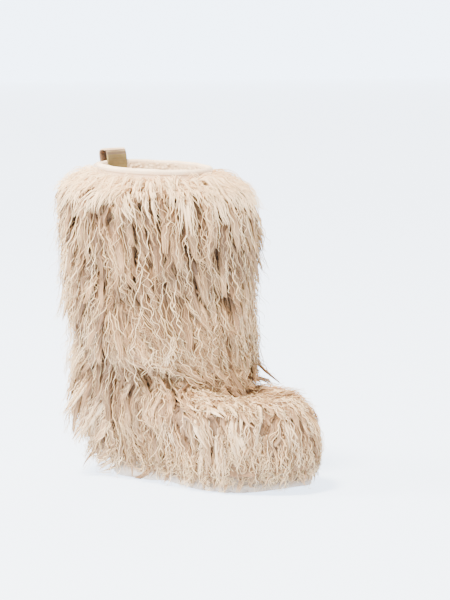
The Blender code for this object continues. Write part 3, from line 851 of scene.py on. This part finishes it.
def crown_fluff(masses, fluff, rng):
    """Soft pale fluff that stands out from under the collar's edge and falls over the shoulder."""
    steps = 12
    t = np.linspace(0, 1, steps)
    count = 190
    for index in range(count):
        spot, out = collar_line((index + rng.uniform(-0.5, 0.5)) / count * TURN)
        side = np.array((out[1], -out[0], 0.0))
        reach = rng.uniform(22, 44) * MM
        rise = rng.uniform(2, 9) * MM
        fall = rng.uniform(8, 27) * MM
        lean = rng.normal(0, 0.24)
        arch = rise * np.sin(np.clip(t / 0.75, 0, 1) * math.pi * 0.75)
        drop = fall * np.clip((t - 0.3) / 0.7, 0, 1) ** 1.9
        line = (
            spot[None, :]
            + out[None, :] * (1.2 * MM + reach * t**0.92)[:, None]
            + side[None, :] * (reach * lean * t)[:, None]
        )
        line[:, 2] += arch - drop - rng.uniform(8, 12) * MM
        tone = int(rng.integers(PALE_TONE, TONES))
        radii = rng.uniform(1.8, 2.9) * MM * np.clip(1 - (np.abs(t - 0.45) / 0.56) ** 2.2, 0.04, 1)
        low = line.copy()
        low[:, 2] -= rng.uniform(2, 4.5) * MM
        masses.add(low[::2], radii[::2], tone, 0.2, 0.9, 0.8)
        grow = np.clip(t * 1.8, 0.1, 1)
        for hair in range(4):
            wave = rng.uniform(0.4, 1.5) * MM
            cycle = t * reach * 1.3 / (rng.uniform(13, 24) * MM) * TURN + rng.uniform(0, 6.28)
            across = np.sin(cycle) * wave * grow + rng.normal(0, 2.6 * MM) * (0.4 + t)
            path = line + side[None, :] * across[:, None]
            path[:, 2] += np.cos(cycle) * wave * 0.7 * grow + rng.normal(0, 1.2 * MM)
            radii = rng.uniform(0.26, 0.48) * MM * np.clip(1.1 - t**2, 0.2, 1)
            fluff.add(path, radii, tone, 0.15, 1.0)


def add_wisp(hairs, spot, normal, reach, rng):
    """A single fine hair that strays out of the fur and curls in the air."""
    steps = 16
    t = np.linspace(0, 1, steps)
    out = np.array((normal[0], normal[1], max(normal[2], -0.1)))
    out /= np.linalg.norm(out) + 1e-9
    side = np.cross(out, (0, 0, 1.0))
    side /= np.linalg.norm(side) + 1e-9
    length = rng.uniform(22, 46) * MM
    away = reach * rng.uniform(0.25, 1.0) ** 1.3
    wave = rng.uniform(0.8, 3.0) * MM
    cycle = t * length / (rng.uniform(11, 20) * MM) * TURN + rng.uniform(0, 6.28)
    grow = np.clip(t * 1.4, 0.15, 1)
    path = (
        np.array(spot)[None, :]
        + out[None, :] * (away * t**1.4 + np.cos(cycle) * wave * 0.8 * grow)[:, None]
        + side[None, :] * (rng.normal(0, 6 * MM) * t + np.sin(cycle) * wave * grow)[:, None]
    )
    path[:, 2] -= length * t
    path[:, 2] = np.maximum(path[:, 2], 2.5 * MM)
    radii = rng.uniform(0.25, 0.48) * MM * np.clip(1.1 - t**2, 0.25, 1)
    hairs.add(path, radii, int(rng.integers(30, TONES)), 0.3, 1.0)


def lumps(spot):
    """A slow rise and fall over the fur, from -1 to 1, that parts it into bigger clumps."""
    x, y, z = spot
    broad = math.sin(x * 105 + 1.9 * math.sin(z * 41)) * math.sin(y * 95 + 1.2)
    return broad * 0.6 + math.sin(z * 88 + x * 60 - y * 70) * 0.5


def faces_out(spot, normal):
    """Whether the guide's skin here looks out of the fur, and neither into the boot nor straight down."""
    if normal[2] < -0.8:
        return False
    if spot[2] > 0.15:
        out = np.array((spot[0], spot[1] + 0.02))
    else:
        out = np.array((spot[0], (spot[1] + 0.08) * 0.5))
    facing = np.dot(out / (np.linalg.norm(out) + 1e-9), normal[:2])
    return facing > 0.0 or normal[2] > 0.35


def in_hem(spot, normal):
    return spot[2] < 0.04 and normal[2] > -0.55


def in_crease(spot, normal):
    return 0.1 < spot[2] < 0.165 and spot[1] < -0.045 and normal[2] > -0.5


def at_ankle(spot, normal):
    return 0.112 < spot[2] < 0.18 and spot[1] < -0.04 and normal[2] < 0.6 and faces_out(spot, normal)


def kind_in(layer, kind, spot):
    """The kind of lock that a layer has: the group's own, or a change of it."""
    if layer in ("under", "crease"):
        ankle = spot[1] < -0.04 and 0.09 < spot[2] < 0.19
        return dict(kind, masses=1, ropes=0, hairs=0, root=0.35 if ankle else 0.0)
    if layer == "hem":
        short = {"spread": 4.5 * MM, "period": 10 * MM, "wave": 2.4 * MM, "curl": 1.8}
        return dict(kind, masses=1, ropes=1, hairs=3, **short)
    if layer == "skirt":
        return dict(kind, mass=2.8 * MM, root=0.6)
    return kind


def lie_of_lock(layer, spot, on_shaft, shoulder, top, rng):
    """A lock's combing, its lengths above and below its spot, its root's depth and its tip's lift."""
    x, y, z = spot
    down_way = Vector((0, 0, -1))
    middle = -0.022 if on_shaft else -0.085
    out = Vector((x, (y - middle) * (1.0 if on_shaft else 0.55), 0)).normalized()
    sideways = Vector((-out.y, out.x, 0))
    # On the shaft's front the fur fans forward, the more so the lower it grows
    low = min(max((0.225 - z) / 0.08, 0.0), 1.0)
    fan = (0.32 + 0.5 * low) * min(max((-0.02 - y) / 0.05, -0.6), 1.0)
    if shoulder:
        comb = down_way * 0.5 + out + sideways * rng.normal(0, 0.2)
        up, down, sink, lift = 24 * MM, rng.uniform(10, 36) * MM, 5 * MM, 3 * MM
    elif on_shaft:
        comb = Vector((0, -fan, -1)) + sideways * rng.normal(0, 0.17) + out * 0.22
        up, down, sink, lift = 42 * MM, 46 * MM, 25 * MM, 9 * MM
    elif top:
        comb = Vector((0, -0.9, -0.35)) + out * 0.5 + sideways * rng.normal(0, 0.25)
        up, down, sink, lift = 20 * MM, 26 * MM, 6 * MM, 2 * MM
    else:
        comb = Vector((0, -0.12, -1)) + out * 0.25 + sideways * rng.normal(0, 0.2)
        up, down, sink, lift = 28 * MM, 36 * MM, 12 * MM, 5 * MM
        if y < -0.17:
            down, lift = min(36 * MM, z), -1 * MM
        if y > -0.01:
            comb = Vector((0, 0.1, -1)) + out * 0.75 + sideways * rng.normal(0, 0.25)
            lift = 14 * MM
    if layer == "hem":
        comb = down_way + out * (1.1 if y > 0.01 else 0.25) + sideways * rng.normal(0, 0.3)
        up, down, sink, lift = 22 * MM, max(16 * MM, z + 1 * MM), 7 * MM, 2.5 * MM
    if layer == "skirt":
        comb = Vector((0, -fan - 0.15, -1)) + out * 0.3 + sideways * rng.normal(0, 0.16)
        up, down, sink, lift = 34 * MM, 50 * MM, 14 * MM, 7 * MM
    if layer == "under":
        up, down, lift = up * 0.7, down * 0.6, -4 * MM
    if layer == "crease":
        comb = Vector((0, -0.8, -1)) + sideways * rng.normal(0, 0.2)
        up, down, sink, lift = 26 * MM, 30 * MM, 6 * MM, 3 * MM
    return comb, up, down, sink, lift


def share_of_fluff(spot, on_shaft, top):
    """How many of the locks here are pale tufts: more at the shaft's back and on the vamp."""
    if on_shaft:
        return 0.6 if spot[1] > 0.02 else 0.0
    if -0.1 <= spot[1] <= -0.01:
        return 0.0
    return 0.7 if top else 0.42


def fur_finishes():
    """The finishes of the fur's masses and ropes on shaft and foot, and of its fine hairs."""
    pale = (1.0, 0.77, 0.50)
    # Painted shade: the dark roots stand partly for shade deep in the fur, and the shaft's masses and ropes
    # are painted darker than the foot's as shade on the shaft.
    tints = {
        "shaft_mass": ((0.07, 0.034, 0.012), (0.24, 0.132, 0.06), (0.57, 0.35, 0.175), pale, 0.6, 0.6, 0.68),
        "shaft_rope": ((0.17, 0.09, 0.038), (0.50, 0.31, 0.15), (0.95, 0.67, 0.36), pale, 0.45, 0.0, 0.72),
        "foot_mass": ((0.12, 0.065, 0.03), (0.36, 0.22, 0.115), (0.66, 0.43, 0.24), pale, 0.4, 0.6, 0.86),
        "foot_rope": ((0.26, 0.15, 0.075), (0.62, 0.41, 0.22), (0.95, 0.69, 0.41), pale, 0.3, 0.0, 0.86),
        "fur_hair": (
            (0.40, 0.235, 0.11), (0.90, 0.60, 0.32), (1.0, 0.77, 0.44), pale,
            0.1, 0.0, 0.76, (0.40, 0.32, 0.24),
        ),
    }
    return {name: fur_hair(name, *tint) for name, tint in tints.items()}


def dress_fur():
    """The whole fur, planted layer by layer over a smooth guide and joined by place and kind."""
    rng = np.random.default_rng(11)
    guide = fur_guide()
    tree = tree_of(guide)
    groups = {
        "shaft": (Locks(4), Locks(3), Locks(3), SHAFT_KIND),
        "foot": (Locks(4), Locks(3), Locks(3), FOOT_KIND),
    }
    fluffs = {"shaft": Locks(3), "foot": Locks(3)}
    flyaways = Locks(3)

    def plant(spot, normal, layer):
        y, z = spot[1:]
        on_shaft = z > 0.155 or (y > -0.02 and z > 0.1) or layer == "skirt"
        group = "shaft" if on_shaft else "foot"
        masses, ropes, hairs, kind = groups[group]
        shoulder = on_shaft and z > 0.284 + rng.normal(0, 0.012)
        top = not on_shaft and normal[2] > 0.55
        comb, up, down, sink, lift = lie_of_lock(layer, spot, on_shaft, shoulder, top, rng)
        fluffy = layer == "over" and (shoulder or rng.random() < share_of_fluff(spot, on_shaft, top))
        swell = 0.0 if layer == "hem" or fluffy else (5 * MM if on_shaft else 2.5 * MM) * lumps(spot)
        up *= rng.uniform(0.8, 1.15)
        down *= rng.uniform(0.65, 1.2)
        line = guide_line(tree, spot, comb, up, down, sink, lift * rng.uniform(-0.3, 1.5) + swell)
        if layer == "skirt":
            line = smooth_line(line, 12)
        if fluffy:
            grow_fluff(masses, fluffs[group], line, np.array(normal), rng, shoulder)
        else:
            grow_lock(masses, ropes, hairs, line, np.array(normal), rng, kind_in(layer, kind, spot))

    layers = (
        ("under", 11.2 * MM, faces_out, 4 * MM),
        ("over", 14.5 * MM, faces_out, 0.0),
        ("hem", 9.0 * MM, in_hem, 0.0),
        ("crease", 7 * MM, in_crease, 0.0),
        ("skirt", 11 * MM, at_ankle, 0.0),
    )
    for layer, spacing, keep, depth in layers:
        for spot, normal in surface_spots(guide, spacing, rng, keep):
            plant(spot - normal * depth, normal, layer)
    crown_fluff(groups["shaft"][0], fluffs["shaft"], rng)
    for low, high, spacing, reach in ((0.15, 0.3, 13.2 * MM, 18 * MM), (0.0, 0.15, 17 * MM, 12 * MM)):
        for spot, normal in surface_spots(guide, spacing, rng, faces_out):
            if low <= spot[2] < high:
                add_wisp(flyaways, spot, normal, reach, rng)
    bpy.data.objects.remove(guide)

    looks = fur_finishes()
    for group, (masses, ropes, hairs, kind) in groups.items():
        finish_piece(masses.piece("fur_" + group + "_masses", looks[group + "_mass"]), "fur")
        finish_piece(ropes.piece("fur_" + group + "_ropes", looks[group + "_rope"]), "fur")
        finish_piece(hairs.piece("fur_" + group + "_hairs", looks["fur_hair"]), "fur")
    for group, fluff in fluffs.items():
        finish_piece(fluff.piece("fur_" + group + "_fluff", looks["fur_hair"]), "fur")
    finish_piece(flyaways.piece("fur_flyaways", looks["fur_hair"]), "fur")
    # The underwool is painted dark, partly as painted shade between the locks.
    bed = underwool_shade_cloth()
    finish_piece(fur_bed("shaft_fur", "shaft_underwool_shade", 12 * MM, bed), "fur", "shaft_fur")
    finish_piece(fur_bed("foot_fur", "foot_underwool_shade", 8 * MM, bed), "fur", "foot_fur")


# Pieces made from the boot's own solids


def dress_sole():
    piece = copy_of("outsole", "sole_moulding")
    smooth_look(piece, 35)
    give(piece, moulded_sole())
    finish_piece(piece, "outsole", "outsole")


def dress_inside():
    give(node["upper"], suede_skin())
    give(node["insole"], fleece("insole_fleece", (0.78, 0.62, 0.45), (0.48, 0.33, 0.20)))
    lining_wool = fleece("lining_fleece", (0.98, 0.80, 0.57), (0.60, 0.41, 0.25))
    piece = copy_of("upper", "fleece_lining")
    keep_inner_faces(piece)
    apply_modifier(piece, "SUBSURF", levels=1, render_levels=1)
    points = points_of(piece)
    normals = normals_of(piece)
    around = np.arctan2(points[:, 0], points[:, 1] + 18 * MM)
    ridge = np.sin(around * 70 + 3 * np.sin(points[:, 2] * 160)) * np.sin(points[:, 2] * 420 + around * 9)
    depth = 1.3 * MM + 0.5 * MM * ridge
    below = rim_height(points[:, 1]) - points[:, 2]
    depth *= np.clip((below - 8 * MM) / (6 * MM), 0.15, 1)
    put_points(piece, points + normals * depth[:, None])
    apply_modifier(piece, "SOLIDIFY", thickness=0.7 * MM, offset=-1.0)
    smooth_look(piece, 60)
    give(piece, lining_wool)
    finish_piece(piece, "insole")
    collar_fleece(lining_wool)


def keep_inner_faces(piece):
    """Keep only the faces that look into the boot: level rays from them cross the wall just once."""
    tree = tree_of(piece)
    shape = bmesh.new()
    shape.from_mesh(piece.data)
    outer = []
    for face in shape.faces:
        start = face.calc_center_median() + face.normal * (0.15 * MM)
        votes = 0
        for step in range(7):
            heading = 0.3 + step * 0.9
            aim = Vector((math.cos(heading), math.sin(heading), 0.013))
            spot = start.copy()
            crossings = 0
            while crossings < 9:
                hit = tree.ray_cast(spot, aim)[0]
                if hit is None:
                    break
                crossings += 1
                spot = hit + aim * (0.01 * MM)
            votes += 1 if crossings % 4 == 2 else -1
        if votes <= 0:
            outer.append(face)
    bmesh.ops.delete(shape, geom=outer, context="FACES")
    shape.to_mesh(piece.data)
    shape.free()


def collar_fleece(material):
    """The lining's edge, turned up inside the collar in small upright rolls."""
    binding = tree_of(node["collar_binding"])
    wall = tree_of(node["upper"])
    around = 260
    depths = (3.4, 4.6, 6.2, 8.2, 10.4, 12.6, 14.6)
    reach = 90 * MM
    rows = [[] for depth in depths]
    for i in range(around):
        rim = collar_line(TURN * i / around)[0]
        aim = Vector((rim[0], rim[1] - COLLAR_MIDDLE, 0)).normalized()
        for row, depth in zip(rows, depths):
            centre = Vector((0, COLLAR_MIDDLE, rim[2] + BINDING_RISE - depth * MM))
            hits = [tree.ray_cast(centre, aim, reach) for tree in (binding, wall)]
            gaps = [hit[3] for hit in hits if hit[0] is not None]
            row.append((centre, aim, min(gaps, default=55 * MM)))
    mesh = bpy.data.meshes.new("collar_fleece")
    shape = bmesh.new()
    front, back = [], []
    for r, row in enumerate(rows):
        for layer, ring in ((front, 1), (back, 0)):
            made = []
            for i, (centre, aim, gap) in enumerate(row):
                roll = abs(math.sin(i / around * math.pi * 62 + 0.5 * math.sin(r * 1.3 + i * 0.21)))
                puff = math.sin(math.pi * (r + 0.5) / len(rows)) ** 0.5
                inward = (0.35 + (0.25 + 0.75 * roll) * puff) * MM if ring else 0.12 * MM
                made.append(shape.verts.new(centre + aim * (gap - inward)))
            layer.append(made)
    rings = front + back[::-1]
    for low, high in zip(rings, rings[1:] + rings[:1]):
        for i in range(around):
            j = (i + 1) % around
            shape.faces.new((low[i], low[j], high[j], high[i]))
    bmesh.ops.recalc_face_normals(shape, faces=shape.faces)
    shape.to_mesh(mesh)
    shape.free()
    piece = bpy.data.objects.new("collar_fleece", mesh)
    bpy.context.scene.collection.objects.link(piece)
    smooth_look(piece, 60)
    give(piece, material)
    finish_piece(piece, "insole")


def dress_collar():
    piece = copy_of("collar_binding", "collar_cord")
    apply_modifier(piece, "SUBSURF", levels=2, render_levels=2)
    points = points_of(piece)
    normals = normals_of(piece)
    below = rim_height(points[:, 1]) + BINDING_RISE - points[:, 2]
    around = np.arctan2(points[:, 0], points[:, 1] - COLLAR_MIDDLE)
    bead = np.clip(1 - np.abs(below - 2.2 * MM) / (3.2 * MM), 0, 1)
    groove = np.exp(-(((below - 6.0 * MM) / (1.3 * MM)) ** 2))
    outer = (normals[:, 0] * np.sin(around) + normals[:, 1] * np.cos(around)) > 0
    wave = 0.30 * np.sin(around * 5 + 0.7) + 0.22 * np.sin(around * 11 + 2.0) + 0.12 * np.sin(around * 23)
    points = points + normals * (bead * (0.35 + 0.5 * wave) * MM)[:, None]
    points = points - normals * (groove * outer * 0.55 * MM)[:, None]
    points[:, 2] += np.clip(1 - below / (8 * MM), 0, 1) * (0.5 * wave) * MM
    put_points(piece, points)
    smooth_look(piece, 60)
    give(piece, binding_cloth())
    finish_piece(piece, "binding", "collar_binding")


def dress_loop():
    piece = copy_of("pull_loop", "loop_tape")
    points = points_of(piece)
    middle = 41.5 * MM
    height = np.clip((points[:, 2] - 312 * MM) / (16 * MM), 0, 1)
    swell = 1.0 + 0.16 * np.sin(height * math.pi) ** 2 - 0.25 * np.clip(0.3 - height, 0, 1)
    points[:, 1] = middle + (points[:, 1] - middle) * swell
    points[:, 0] = points[:, 0] * 1.07 - 2.2 * MM
    put_points(piece, points)
    sharp = math.radians(50)
    apply_modifier(piece, "BEVEL", width=0.35 * MM, segments=2, limit_method="ANGLE", angle_limit=sharp)
    apply_modifier(piece, "SUBSURF", levels=1, render_levels=1)
    smooth_look(piece, 50)
    give(piece, loop_webbing())
    finish_piece(piece, "webbing", "pull_loop")


deselect_all()
set_camera()
set_studio()
dress_sole()
dress_inside()
dress_collar()
dress_loop()
dress_fur()
